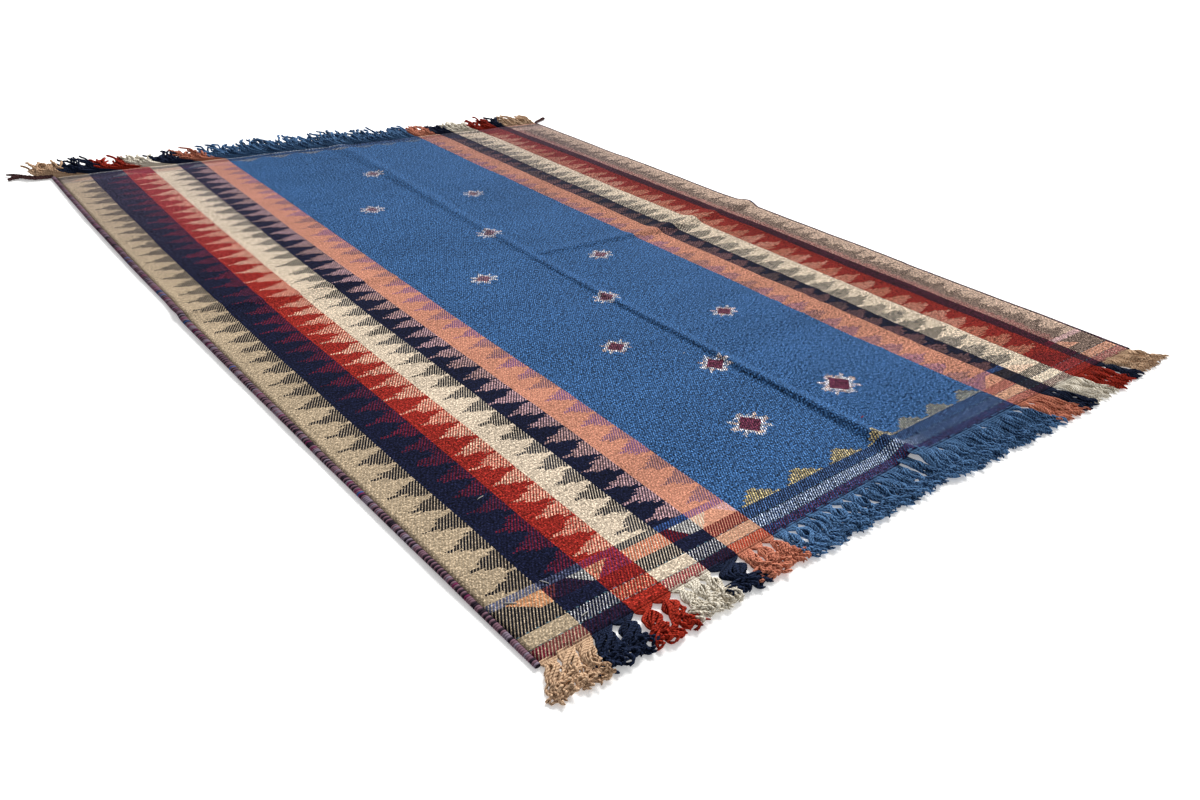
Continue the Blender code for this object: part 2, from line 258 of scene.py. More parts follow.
# Slow waves of the cloth: wave length across, wave length along, turn and height
SWELLS = (
    (0.41, 0.63, 0.4, 0.00045),
    (0.23, -0.37, 1.9, 0.00035),
    (-0.155, 0.21, 3.1, 0.00025),
    (0.088, 0.117, 5.0, 0.00015),
)

# Thickness of the two side cords: one row for each place along the rug
CORD_SIZES = Table(
    "y left_w left_h right_w right_h",
    (-0.950, 0.0085, 0.0050, 0.0070, 0.0050),
    (-0.700, 0.0105, 0.0060, 0.0060, 0.0045),
    (-0.350, 0.0115, 0.0068, 0.0060, 0.0045),
    (0.000, 0.0125, 0.0070, 0.0060, 0.0045),
    (0.400, 0.0120, 0.0068, 0.0055, 0.0045),
    (0.800, 0.0105, 0.0062, 0.0055, 0.0045),
    (0.950, 0.0095, 0.0058, 0.0060, 0.0045),
)

# Windings of the side cords: the run of one turn, its rings, the cord's sides, how deep the groove
# between two turns is, and the limits of the draws that make a turn red, pale, plum or blue
CORD_TURN = {"left": 0.0034, "right": 0.0030}
RINGS_PER_TURN = 5
CORD_SIDES = 12
TURN_DEPTH = 0.16
RED_TURNS = 0.42
DUSK_TURNS = 0.84
PLUM_TURNS = 0.96
DENIM_TURNS = 0.02

# Stripes from left to right: the fringe's yarn, warp and weft, how much of the weave the warp
# covers, the two colours woven into the teeth, the side the teeth stand on, how far they reach,
# how uneven the yarn is, how light the stripe is, and bundles of warp ends at the two ends
STRIPES = Table(
    "name yarn warp weft cover tooth_a tooth_b base reach grain tone near_bundles far_bundles",
    ("beige_left", "beige", "beige", "sand", 0.28, "soot", "soot", "right", 0.049, 1.3, 1.0, 3, 2),
    ("navy_left", "navy", "navy", "ink", 0.50, "maroon", "wine", "right", 0.045, 2.0, 0.86, 2, 3),
    ("red_left", "red", "red", "brick", 0.47, "blush", "shell", "right", 0.049, 1.9, 1.0, 2, 2),
    ("white_left", "cream", "cream", "bone", 0.29, "soot", "slate", "right", 0.047, 1.4, 1.0, 3, 2),
    ("navy_inner", "navy", "navy", "ink", 0.46, "mauve", "dusty", "right", 0.046, 1.8, 0.84, 1, 2),
    ("salmon_left", "salmon", "salmon", "coral", 0.35, "heather", "taupe", "right", 0.045, 1.1, 1.0, 3, 2),
    ("blue", "blue", "blue", "azure", 0.46, "azure", "azure", "right", 0.0, 2.8, 0.97, 26, 20),
    ("salmon_right", "salmon", "salmon", "coral", 0.40, "heather", "taupe", "left", 0.046, 2.0, 0.80, 3, 3),
    ("navy_right", "navy", "navy", "ink", 0.42, "dusky", "earth", "left", 0.042, 2.4, 0.64, 2, 2),
    ("white_right", "cream", "cream", "bone", 0.34, "soot", "slate", "left", 0.062, 2.2, 0.87, 2, 3),
    ("red_right", "red", "red", "brick", 0.45, "peach", "blush", "left", 0.062, 2.2, 0.70, 3, 2),
    ("navy_narrow", "navy", "wine", "pitch", 0.52, "pitch", "pitch", "left", 0.0, 2.2, 0.64, 1, 1),
    ("beige_right", "beige", "fawn", "fawn", 0.34, "garnet", "umber", "left", 0.088, 2.3, 0.82, 3, 3),
)
STRIPE_COUNT = len(STRIPES.rows)
BLUE = 6.0
LAST = 12.0

# Where each stripe but the last ends on its right, at several places along the rug
BOUNDARIES = Table(
    "y " + " ".join(STRIPES.column("name")[:-1]),
    (-0.95, -0.625, -0.564, -0.507, -0.4425, -0.391, -0.3255, 0.287, 0.364, 0.408, 0.487, 0.563, 0.589),
    (-0.80, -0.628, -0.5645, -0.506, -0.443, -0.388, -0.322, 0.279, 0.357, 0.402, 0.484, 0.562, 0.589),
    (-0.62, -0.6325, -0.565, -0.504, -0.443, -0.384, -0.318, 0.27, 0.35, 0.395, 0.48, 0.558, 0.59),
    (-0.10, -0.64, -0.57, -0.505, -0.44, -0.381, -0.314, 0.269, 0.342, 0.394, 0.48, 0.563, 0.588),
    (0.38, -0.639, -0.566, -0.50, -0.432, -0.372, -0.305, 0.266, 0.34, 0.392, 0.475, 0.558, 0.583),
    (0.95, -0.625, -0.5475, -0.485, -0.421, -0.361, -0.296, 0.268, 0.341, 0.393, 0.478, 0.552, 0.584),
)

# Weft colours of the end bands, stripe by stripe, and the warp's cover in the light band
BANDS = Table(
    "stripe end light hatch edge light_cover",
    ("beige_left", "russet", "sand", "soot", "steel", 0.32),
    ("navy_left", "aubergine", "snow", "navy", "steel", 0.80),
    ("red_left", "red", "straw", "oxblood", "plum", 0.76),
    ("white_left", "rosewood", "bone", "soot", "slate", 0.34),
    ("navy_inner", "aubergine", "snow", "navy", "denim", 0.76),
    ("salmon_left", "sienna", "straw", "oxblood", "heather", 0.35),
    ("blue", "grape", "lilac", "midnight", "azure", 0.70),
    ("salmon_right", "rosewood", "straw", "rosewood", "heather", 0.40),
    ("navy_right", "aubergine", "slate", "midnight", "denim", 0.46),
    ("white_right", "dim_rose", "cream", "smoke", "bone", 0.36),
    ("red_right", "brick", "rosewood", "oxblood", "brick", 0.45),
    ("navy_narrow", "midnight", "slate", "midnight", "maroon", 0.50),
    ("beige_right", "rosewood", "peach", "umber", "mauve", 0.34),
)

# The row of large figures in the end bands: its left, middle and right colours in each stripe, and
# the shares of the stripe's width where they meet, at the row's foot and at its top
LENSES = Table(
    "stripe left middle right left_foot left_top right_foot right_top",
    ("beige_left", "soot", "apricot", "apricot", 0.78, 0.30, 1.0, 1.0),
    ("navy_left", "russet", "aubergine", "chalk", 0.0, 0.34, 0.98, 0.56),
    ("red_left", "straw", "plum", "plum", 0.04, 0.60, 1.0, 1.0),
    ("white_left", "rust", "rust", "rust", 0.0, 0.0, 1.0, 1.0),
    ("navy_inner", "oxblood", "oxblood", "chalk", 0.0, 0.0, 0.62, 0.28),
    ("salmon_left", "bone", "salmon", "mauve", 0.04, 0.42, 1.0, 0.60),
    ("blue", "azure", "azure", "azure", 0.0, 0.0, 1.0, 1.0),
    ("salmon_right", "heather", "salmon", "salmon", 0.15, 0.70, 1.0, 1.0),
    ("navy_right", "smoke", "smoke", "smoke", 0.0, 0.0, 1.0, 1.0),
    ("white_right", "shell", "shell", "bone", 0.0, 0.0, 0.9, 0.3),
    ("red_right", "oxblood", "oxblood", "brick", 0.0, 0.1, 0.9, 0.5),
    ("navy_narrow", "smoke", "smoke", "smoke", 0.0, 0.0, 1.0, 1.0),
    ("beige_right", "peach", "peach", "umber", 0.0, 0.0, 0.50, 0.12),
)

# Stepped gold figures at both ends of the blue stripe: their middles as x at the near end, and the
# half width and the rise of each step
GOLD_MIDDLES = (-0.276, -0.183, -0.089, 0.004, 0.083, 0.160, 0.250)
GOLD_STEPS = ((0.0390, 0.005), (0.0270, 0.008), (0.0180, 0.006), (0.0090, 0.008))

# Stars on the blue stripe: x and y of each one's middle, and its size beside the largest
STARS = (
    (-0.026, 0.663, 0.78), (-0.162, 0.412, 0.80), (0.115, 0.414, 0.76),
    (-0.014, 0.152, 0.82), (-0.170, -0.060, 0.78), (0.122, -0.069, 0.79),
    (-0.017, -0.254, 0.78), (-0.143, -0.428, 0.78), (0.140, -0.419, 0.76),
    (-0.039, -0.567, 0.86), (-0.139, -0.738, 1.00), (0.090, -0.731, 1.04),
)

# A star's parts as half widths and half heights: its whole field, the slant of the weave, its
# heart, the ragged collar, the arms to the sides, up and down and to the corners
STAR_REACH = (0.046, 0.034)
STAR_SLANT = 0.15
HEART = (0.0258, 0.0232)
COLLAR = (0.0350, 0.0320)
SIDE_ARM = (0.0410, 0.0050)
UP_ARM = (0.0070, 0.0290)
CORNER_ARM = (0.0320, 0.0060)
RAGGED = 0.5
CORNER_SLOPE = 1.55

# Between which places the stars grow paler with distance, by how much, and how much less heart
STAR_FADE_Y = (-0.60, 0.30)
STAR_FADE = 0.28
HEART_SHRINK = 0.14

# Stray threads that lie on the cloth: x, y, length, turn in degrees and colour
SPECKS = (
    (-0.059, -0.511, 0.007, 20.0, "chalk"),
    (0.030, -0.822, 0.008, 10.0, "scarlet"),
    (-0.585, -0.672, 0.012, 15.0, "chalk"),
    (-0.616, -0.851, 0.012, -60.0, "chalk"),
    (-0.668, -0.857, 0.016, -35.0, "chalk"),
    (-0.612, -0.919, 0.012, 12.0, "chalk"),
)
SPECK_R = 0.0006

# How the yarns lean by their tips, how far short of the full reach they stop, and how much those
# of the near end tangle
FRINGE_REACH_Y = 1.024
LEANS = Table(
    "x near_shift near_short tangle far_shift far_short",
    (-0.72, -0.020, 0.015, 1.0, -0.046, 0.004),
    (-0.62, -0.026, 0.012, 1.0, -0.052, 0.004),
    (-0.54, -0.012, 0.012, 1.0, -0.054, 0.004),
    (-0.50, 0.000, 0.015, 1.0, -0.046, 0.008),
    (-0.38, -0.008, 0.016, 1.0, -0.046, 0.008),
    (-0.30, 0.012, 0.014, 0.9, -0.044, 0.006),
    (-0.05, 0.020, 0.010, 0.8, -0.030, 0.004),
    (0.12, 0.014, 0.002, 0.8, -0.024, 0.006),
    (0.28, 0.022, -0.004, 0.6, -0.022, 0.004),
    (0.42, 0.014, -0.005, 0.4, -0.020, 0.008),
    (0.56, 0.018, 0.002, 0.4, -0.016, 0.006),
    (0.61, 0.036, 0.008, 0.4, -0.010, 0.006),
    (0.72, 0.040, 0.008, 0.5, 0.000, 0.008),
)

# Yarns of the fringe: radius and its luck, share of it at each end, how far a tip opens, spacing,
# fewest in a bundle, sides, the run of one ply, the seam left between two UV places, and the luck
# of a bundle's length
YARN_R = 0.0017
YARN_SIZES = (0.8, 1.1)
END_YARN = {"near": 1.0, "far": 1.65}
TIP_OPENING = {"near": 0.25, "far": 0.0}
YARN_STEP = {"near": 0.0014, "far": 0.0012}
FEWEST_YARNS = 5
YARN_SIDES = 5
PLY_RUN = 0.0050
SEAM = 0.001
LENGTH_LUCK = (-0.004, 0.002)
FRINGE_SEED = 11

# Near bundles: rings, the root's place on the cloth, the waist as a share of the width, the rope's
# half height and turns, then for each yarn its length, splay, stray to a side, and waves
NEAR_RINGS = 30
NEAR_ROOT = 0.004
WAIST = 0.42
ROPE_H = 0.0026
ROPE_SPINS = (0.4, 0.8)
NEAR_LENGTHS = (0.82, 1.0)
SPLAY = 1.25
NEAR_STRAY = 0.009
NEAR_WAVES = (2.5, 5.0)
NEAR_WAVE_SIZES = (0.0020, 0.0046)

# Far tufts: rings, the root's place, the height that no yarn passes, the share of short yarns, the
# reach of short and of long ones, height, where they are highest, stray to a side, and waves
FAR_RINGS = 16
FAR_ROOT = 0.002
FRINGE_TOP = 0.0322
SHORT_SHARE = 0.55
FAR_SHORT = (0.25, 0.55)
FAR_LONG = (0.55, 1.0)
FAR_HEIGHTS = (0.55, 1.0)
FAR_PEAKS = (0.50, 0.95)
FAR_STRAY = 0.024
FAR_WAVES = (0.8, 2.4)
FAR_WAVE_X = 0.0035
FAR_WAVE_Y = 0.003

# How high the tufts of the far fringe stand, at several places across the rug
TUFTS = Table(
    "x height",
    (-0.70, 0.032), (-0.60, 0.032), (-0.50, 0.026), (-0.43, 0.023), (-0.36, 0.028),
    (-0.29, 0.025), (-0.24, 0.030), (-0.20, 0.036), (-0.16, 0.030), (-0.05, 0.034),
    (0.00, 0.030), (0.04, 0.036), (0.08, 0.030), (0.30, 0.022), (0.38, 0.025),
    (0.46, 0.021), (0.54, 0.028), (0.62, 0.022), (0.70, 0.019),
)

# The loose ends of the side cords at the far corners: one row for each place along a tail, as the
# way out to the side, the way along the rug, the height of its middle and its radius
TAILS = {
    "left": (
        (
            (0.001, 0.002, 0.0052, 0.0042), (0.018, 0.001, 0.0056, 0.0046),
            (0.038, 0.004, 0.0058, 0.0048), (0.052, 0.016, 0.0058, 0.0048),
            (0.063, 0.028, 0.0056, 0.0046), (0.078, 0.024, 0.0054, 0.0044),
            (0.090, 0.018, 0.0036, 0.0028),
        ),
        (
            (0.044, 0.010, 0.0058, 0.0030), (0.060, 0.030, 0.0062, 0.0034),
            (0.074, 0.046, 0.0056, 0.0032), (0.086, 0.059, 0.0040, 0.0018),
        ),
    ),
    "right": (
        (
            (0.001, 0.002, 0.0042, 0.0034), (0.014, 0.012, 0.0046, 0.0038),
            (0.036, 0.024, 0.0050, 0.0040), (0.050, 0.032, 0.0054, 0.0044),
            (0.058, 0.036, 0.0054, 0.0044), (0.066, 0.040, 0.0034, 0.0026),
        ),
    ),
}
TAIL_RINGS = 36
TAIL_ROOT = 0.004
TAIL_WAVE = 0.0002

# Wool hardly shines
GLOSS = 0.02

# The lamp is bright enough to turn the floor white, so the wool gives back less than it shows
WOOL_SHARE = 0.77

# Colours, as sRGB values from 0 to 255
PALETTE = {
    "beige": (193, 175, 150), "sand": (176, 157, 131), "navy": (25, 29, 55), "ink": (20, 25, 50),
    "red": (154, 44, 34), "brick": (138, 36, 32), "cream": (226, 210, 188), "bone": (214, 196, 174),
    "salmon": (210, 150, 124), "coral": (198, 133, 111), "blue": (36, 70, 116),
    "azure": (66, 106, 154), "soot": (15, 17, 28), "smoke": (54, 48, 48), "slate": (40, 42, 52),
    "maroon": (112, 28, 48), "wine": (92, 30, 52), "aubergine": (50, 25, 46), "plum": (110, 44, 80),
    "grape": (68, 32, 58), "oxblood": (104, 22, 30), "rosewood": (142, 60, 66),
    "scarlet": (196, 62, 38), "rust": (188, 108, 80), "blush": (216, 162, 140),
    "shell": (224, 190, 165), "peach": (196, 132, 106), "apricot": (206, 144, 102),
    "straw": (206, 164, 136), "gold": (188, 172, 122), "mauve": (206, 166, 172),
    "heather": (126, 86, 128), "taupe": (116, 84, 96), "lilac": (196, 212, 236),
    "steel": (88, 94, 122), "denim": (58, 88, 146), "midnight": (14, 20, 40), "umber": (64, 48, 48),
    "chalk": (210, 208, 204), "dusk": (128, 114, 130), "sheen_veil": (104, 96, 118),
    "russet": (118, 58, 58), "fawn": (194, 168, 150), "dusky": (134, 94, 94),
    "earth": (106, 84, 82), "sienna": (168, 58, 40), "denim_dark": (26, 46, 84),
    "dim_rose": (98, 66, 72), "pitch": (28, 22, 34), "cord_dark": (42, 33, 44),
    "garnet": (130, 60, 66), "snow": (232, 232, 234), "heart": (112, 50, 70),
    "dull_gold": (140, 144, 134), "cord_red": (120, 90, 104), "dark_heart": (60, 36, 58),
    "dusty": (196, 158, 154), "hatch_blue": (70, 100, 148), "teal": (96, 134, 150),
}
# Yarns of the fringe and the tails: a lit colour and a painted shaded colour for each
YARN_LIT_AND_SHADED = {
    "tail": ((96, 66, 66), (30, 18, 24)),
    "beige": ((228, 192, 158), (134, 102, 80)),
    "navy": ((38, 48, 74), (9, 12, 24)),
    "red": ((184, 58, 42), (84, 18, 16)),
    "cream": ((250, 242, 226), (160, 148, 126)),
    "salmon": ((228, 148, 120), (136, 66, 54)),
    "blue": ((100, 142, 190), (12, 30, 62)),
}

# Camera: where it stands, the floor point in the middle of its view, its lens and its roll
CAMERA_AT = (-1.1410, -1.4960, 0.7139)
CAMERA_TO = (-0.2826, -0.5522, 0.0)
CAMERA_LENS = 28.057
CAMERA_ROLL = 4.9055

# Light: the sky's strength, and where the lamp stands, its power and how wide it looks in degrees
SKY_POWER = 0.39
KEY_FROM = (1.0, 0.75, 0.75)
KEY_POWER = 6.0
KEY_ANGLE = 30.0
KEY_COLOR = (1.0, 0.99, 0.97)
FLOOR_GLOW = 0.30
FLOOR_SIZE = 120.0
FLOOR_COLOR = (0.98, 0.98, 0.98, 1.0)


def linear(rgb):
    """An sRGB colour from 0 to 255 as linear values, with alpha, under the bright lamp."""
    shares = [value / 255.0 for value in rgb]
    made = [s / 12.92 if s <= 0.04045 else ((s + 0.055) / 1.055) ** 2.4 for s in shares]
    return (*(value * WOOL_SHARE for value in made), 1.0)


def color(name):
    return linear(PALETTE[name])


def clamp(value, low=0.0, high=1.0):
    return max(low, min(high, value))


def smooth(start, end, value):
    """0 before start, 1 after end, and a soft step between them."""
    share = clamp((value - start) / (end - start))
    return share * share * (3.0 - 2.0 * share)


def end_y(end, x):
    """The y of the cloth's near or far end at a place across the rug."""
    return ENDS.read(x, end + "_y")


def ridge(table, along, across):
    """Height of a soft ridge whose crest follows a table of places."""
    crest = table.read(along, "crest")
    width = table.read(along, "low_width" if across < crest else "high_width")
    share = min(1.0, abs(across - crest) / width)
    return table.read(along, "height") * (1.0 - share) ** 2 * (1.0 + 2.0 * share)


def rise(x, y):
    """How far the underside of the cloth is off the floor, with its creases and slow waves."""
    folds = [ridge(LONG_CREASE, y, x), ridge(CROSS_CREASE, x, y), ridge(RIGHT_RIDGE, y, x)]
    folds += [ridge(table, x, y) for table in FAINT_CREASES]
    swell = 0.0
    for length_x, length_y, turn, height in SWELLS:
        wave = math.sin(2.0 * math.pi * (x / length_x + y / length_y) + turn)
        swell += height * (1.0 + wave)
    return max(folds) + swell


def boundaries(y):
    """The x of every stripe boundary at a place along the rug, both sides included."""
    inner = [BOUNDARIES.read(y, name) for name in BOUNDARIES.columns[1:]]
    return [SIDES.read(y, "left_x"), *inner, SIDES.read(y, "right_x")]


NEAR_LINES = boundaries(-HALF_LENGTH)
ACROSS_LINES = [x - NEAR_LINES[0] for x in NEAR_LINES]
LOOM_W = ACROSS_LINES[-1]


def carry(value, lines, others):
    """A value that lies among rising lines, carried over to the same share among others."""
    for low, high, start, stop in zip(lines, lines[1:], others, others[1:]):
        if value <= high:
            return start + (value - low) / (high - low) * (stop - start)
    return others[-1]


def along_to_y(along, x):
    """The y of a loom place: the ends are drawn in, and the middle is left as it is."""
    near_share = clamp((END_DRAW - HALF_LENGTH - along) / END_DRAW)
    far_share = clamp((along - HALF_LENGTH + END_DRAW) / END_DRAW)
    near = near_share * (end_y("near", x) + HALF_LENGTH)
    return along + near - far_share * (HALF_LENGTH - end_y("far", x))


def fill(node, values):
    """Links each input of a node to an output, or sets it to a plain value."""
    for name, value in values.items():
        if isinstance(value, Field):
            value = value.socket
        if isinstance(value, bpy.types.NodeSocket):
            node.id_data.links.new(value, node.inputs[name])
        else:
            node.inputs[name].default_value = value


def math_step(operation):
    """A method that runs one operation of the Math node on a field and the numbers after it."""
    def run(field, *others):
        node = field.tree.nodes.new("ShaderNodeMath")
        node.operation = operation
        fill(node, dict(enumerate((field, *others))))
        return Field(field.tree, node.outputs[0])
    return run


class Field:
    """A number for each point of a surface, worked out by shader nodes."""

    __add__ = math_step("ADD")
    __sub__ = math_step("SUBTRACT")
    __mul__ = math_step("MULTIPLY")
    __truediv__ = math_step("DIVIDE")
    __mod__ = math_step("FLOORED_MODULO")
    floor = math_step("FLOOR")
    part = math_step("FRACT")
    size = math_step("ABSOLUTE")
    sine = math_step("SINE")
    below = math_step("LESS_THAN")
    above = math_step("GREATER_THAN")
    least = math_step("MINIMUM")
    most = math_step("MAXIMUM")

    def __init__(self, tree, socket):
        self.tree = tree
        self.socket = socket

    def of(self, other):
        """Another number less this one."""
        return (self * -1.0) + other

    def between(self, low, high):
        return self.above(low) * self.below(high)

    def soft(self, start, end):
        """0 before start, 1 after end, and a soft step between them."""
        node = self.tree.nodes.new("ShaderNodeMapRange")
        node.interpolation_type = "SMOOTHSTEP"
        fill(node, {"Value": self, "From Min": start, "From Max": end})
        return Field(self.tree, node.outputs["Result"])

    def pick(self, yes, no):
        """yes where this is 1, no where it is 0."""
        return (yes - no) * self + no

    def mix(self, under, over):
        """A colour that goes from under to over with this share."""
        node = self.tree.nodes.new("ShaderNodeMix")
        node.data_type = "RGBA"
        fill(node, {0: self, 6: under, 7: over})
        return node.outputs[2]

    def shade(self, paint):
        """A colour made lighter or darker by this factor."""
        node = self.tree.nodes.new("ShaderNodeVectorMath")
        node.operation = "SCALE"
        fill(node, {0: paint, "Scale": self})
        return node.outputs[0]


def split(tree, kind, socket):
    """The numbers of a colour, when kind is Color, or of a place, when it is XYZ."""
    node = tree.nodes.new("ShaderNodeSeparate" + kind)
    fill(node, {0: socket})
    return [Field(tree, output) for output in node.outputs]


def uv_places(tree, name):
    """The two numbers of a UV map."""
    uv = tree.nodes.new("ShaderNodeUVMap")
    uv.uv_map = name
    return split(tree, "XYZ", uv.outputs[0])[:2]


def noise_node(tree, values):
    node = tree.nodes.new("ShaderNodeTexNoise")
    fill(node, values)
    return Field(tree, node.outputs["Fac"])


def vector(x, y):
    node = x.tree.nodes.new("ShaderNodeCombineXYZ")
    fill(node, {0: x, 1: y})
    return node.outputs[0]


def noise(x, y, detail=2.0, roughness=0.5):
    """Soft noise around 0.5 at a place whose units are one lump."""
    values = {"Vector": vector(x, y), "Scale": 1.0, "Detail": detail, "Roughness": roughness}
    return noise_node(x.tree, values)


def object_noise(tree, scale):
    place = tree.nodes.new("ShaderNodeTexCoord").outputs["Object"]
    return noise_node(tree, {"Vector": place, "Scale": scale})


def dice(x, y):
    """Three even random numbers from 0 to 1 for each cell. Odd factors keep the cells apart."""
    node = x.tree.nodes.new("ShaderNodeTexWhiteNoise")
    node.noise_dimensions = "2D"
    fill(node, {"Vector": vector(x, y)})
    return split(x.tree, "Color", node.outputs["Color"])


def start_material(name):
    material = bpy.data.materials.new(name)
    material.use_nodes = True
    return material, material.node_tree


def finish_material(material, paint, roughness, bump=None):
    """Fills the shader. A bump is given as its height, its distance and its strength."""
    tree = material.node_tree
    shader = tree.nodes["Principled BSDF"]
    fill(shader, {"Base Color": paint, "Roughness": roughness, "Specular IOR Level": GLOSS})
    if bump:
        node = tree.nodes.new("ShaderNodeBump")
        fill(node, dict(zip(("Height", "Distance", "Strength"), bump)))
        fill(shader, {"Normal": node.outputs[0]})
    return material


class Loom:
    """The places and threads of the weave at a point of the cloth."""

    def __init__(self, tree):
        across, along = uv_places(tree, "loom")
        wander = noise(across * 9.0, along * 9.0, 1.0)
        drift = noise(across * 14.0 + 31.0, along * 5.0, 1.0)
        self.across = across + (drift - 0.5) * THREAD_DRIFT
        self.along = along + (wander - 0.5) * ROW_DRIFT
        self.thread = self.across / WARP_W
        self.row = self.along / WEFT_W
        self.thread_no = self.thread.floor()
        self.row_no = self.row.floor()
        self.s = (self.thread_no + 0.5) * WARP_W
        self.y = (self.row_no + 0.5) * WEFT_W
        self.stripe = self.s.above(ACROSS_LINES[1])
        for line in ACROSS_LINES[2:-1]:
            self.stripe = self.stripe + self.s.above(line)
        self.place = (self.stripe + 0.5) / float(STRIPE_COUNT)
        self.from_left = self.s - self.number(ACROSS_LINES[:-1])
        self.from_right = self.number(ACROSS_LINES[1:]) - self.s
        self.share = self.from_left / (self.from_left + self.from_right)
        near = self.y + HALF_LENGTH
        far = (self.y - HALF_LENGTH) * -FAR_PACKING + FAR_START
        self.from_end = near.least(far)
        self.is_blue = self.stripe.between(BLUE - 0.5, BLUE + 0.5)
        self.is_last = self.stripe.above(LAST - 0.5)
        # How far the pale figures of the blue stripe fade out beyond the crease
        self.faded = (self.s + NEAR_LINES[0]).soft(*FADED_X) * self.is_blue * FADING

    def steps(self, colors):
        """A ramp of even, hard steps: one colour for each stripe."""
        tree = self.place.tree
        node = tree.nodes.new("ShaderNodeValToRGB")
        node.color_ramp.interpolation = "CONSTANT"
        stops = node.color_ramp.elements
        while len(stops) < len(colors):
            stops.new(len(stops) / 100.0)
        for k in range(len(colors)):
            stops[k].position = k / len(colors)
        for k, value in enumerate(colors):
            stops[k].color = value
        fill(node, {0: self.place})
        return node.outputs[0]

    def paint(self, table, name):
        """The colours that a column of a table names for the stripes."""
        return self.steps([color(word) for word in table.column(name)])

    def number(self, values):
        """A number for each stripe."""
        return split(self.place.tree, "Color", self.steps([(v, v, v, 1.0) for v in values]))[0]

    def warp_up(self):
        """1 where the warp lies on top: a slanting line, one thread further in each row."""
        step = (self.thread - self.row_no) % FLOAT_COUNT
        cover = self.number(STRIPES.column("cover"))
        light = self.number(BANDS.column("light_cover"))
        in_light = self.from_end.between(END_BAND, HATCH_BAND)
        return step.below(in_light.pick(light, cover) * FLOAT_COUNT)

    def roundness(self, up):
        """The round top of the thread that lies on top, from 0 at its sides to 1."""
        side_x = (self.thread.part() * 2.0 - 1.0).size()
        side_y = (self.row.part() * 2.0 - 1.0).size()
        side = up.pick(side_x, side_y)
        return (side * side).of(1.0)


def teeth(loom):
    """1 inside the stepped teeth along one side of each stripe, and the share of their reach."""
    slow = noise(loom.stripe * 3.7, loom.y * 4.0, 1.0) - 0.5
    count = (loom.y - FIRST_TOOTH_Y + slow * TOOTH_DRIFT) / TOOTH_PERIOD + 0.5
    row = count.floor()
    off = (count - row - 0.5) * TOOTH_PERIOD
    chance = dice(row * 1.7 + loom.stripe * 11.3, off.above(0.0) * 5.1 + 0.3)
    off = off + (dice(row * 2.3 + loom.stripe * 7.9, 9.7)[0] - 0.5) * TOOTH_SHIFT
    is_right = loom.number([float(side == "right") for side in STRIPES.column("base")])
    base = is_right.pick(loom.from_right, loom.from_left)
    reach = loom.number(STRIPES.column("reach"))
    ragged = dice(loom.stripe * 4.9, (loom.row_no / 2.0).floor())[0]
    base = base + (ragged - 0.5) * reach * TOOTH_RAGGED
    height = loom.is_last * base.below(reach * FOOT_SHARE) * TOOTH_PERIOD + STEM_HALF
    for luck, (share, step) in zip(chance, TOOTH_STEPS):
        edge = reach * ((luck - 0.5) * STEP_LUCK + is_right.of(1.0) * RIGHT_FULLER + share)
        height = height + base.below(edge) * step
    tip = reach * ((chance[2] - 0.5) * TIP_LUCK + 1.0)
    return off.size().below(height) * base.below(tip), base / (reach + NO_REACH)


def stars(loom):
    """1 inside the dark hearts of the stars, and 1 in the pale combs around them."""
    found = None
    for x, y, size in STARS:
        across = loom.s - carry(x, boundaries(y), ACROSS_LINES)
        along = loom.y - y
        inside = across.size().below(STAR_REACH[0]) * along.size().below(STAR_REACH[1])
        terms = (across * inside / size, along * inside / size, inside)
        found = terms if found is None else tuple(a + b for a, b in zip(found, terms))
    across, along, inside = found
    dx = (across - along * STAR_SLANT).size()
    dy = along.size()
    away = loom.along.soft(*STAR_FADE_Y)
    heart = (dx / HEART[0] + dy / HEART[1]).below(away * -HEART_SHRINK + 1.0)
    ragged = dice((loom.thread_no / 3.0).floor(), loom.row_no)[0]
    comb = (dx / COLLAR[0] + dy / COLLAR[1] + (ragged - 0.5) * RAGGED).below(1.0)
    for wide, tall in (SIDE_ARM, UP_ARM):
        comb = comb.most(dx.below(wide) * dy.below(tall))
    corner = (dx - dy * CORNER_SLOPE).size().below(CORNER_ARM[1]) * dx.below(CORNER_ARM[0])
    clear = inside * (away * -STAR_FADE + 1.0)
    return heart * clear, comb.most(corner) * clear


def gold_figures(loom):
    """1 inside the stepped figures at the ends of the blue stripe."""
    nearest, *others = [(loom.s - (x - NEAR_LINES[0])).size() for x in GOLD_MIDDLES]
    for away in others:
        nearest = nearest.least(away)
    height, *others = [nearest.below(half_width) * step for half_width, step in GOLD_STEPS]
    for tier in others:
        height = height + tier
    above = loom.from_end - LENS_ROW[0]
    return above.above(0.0) * above.below(height) * loom.is_blue


def lens_weft(loom):
    """Weft colours of the row of large figures."""
    up = (loom.from_end - LENS_ROW[0]) / (LENS_ROW[1] - LENS_ROW[0])
    made = loom.paint(LENSES, "left")
    for side, paint in (("left", "middle"), ("right", "right")):
        foot = loom.number(LENSES.column(side + "_foot"))
        line = foot + (loom.number(LENSES.column(side + "_top")) - foot) * up
        made = loom.share.above(line).mix(made, loom.paint(LENSES, paint))
    gold = loom.faded.mix(color("gold"), color("dull_gold"))
    return gold_figures(loom).mix(made, gold)


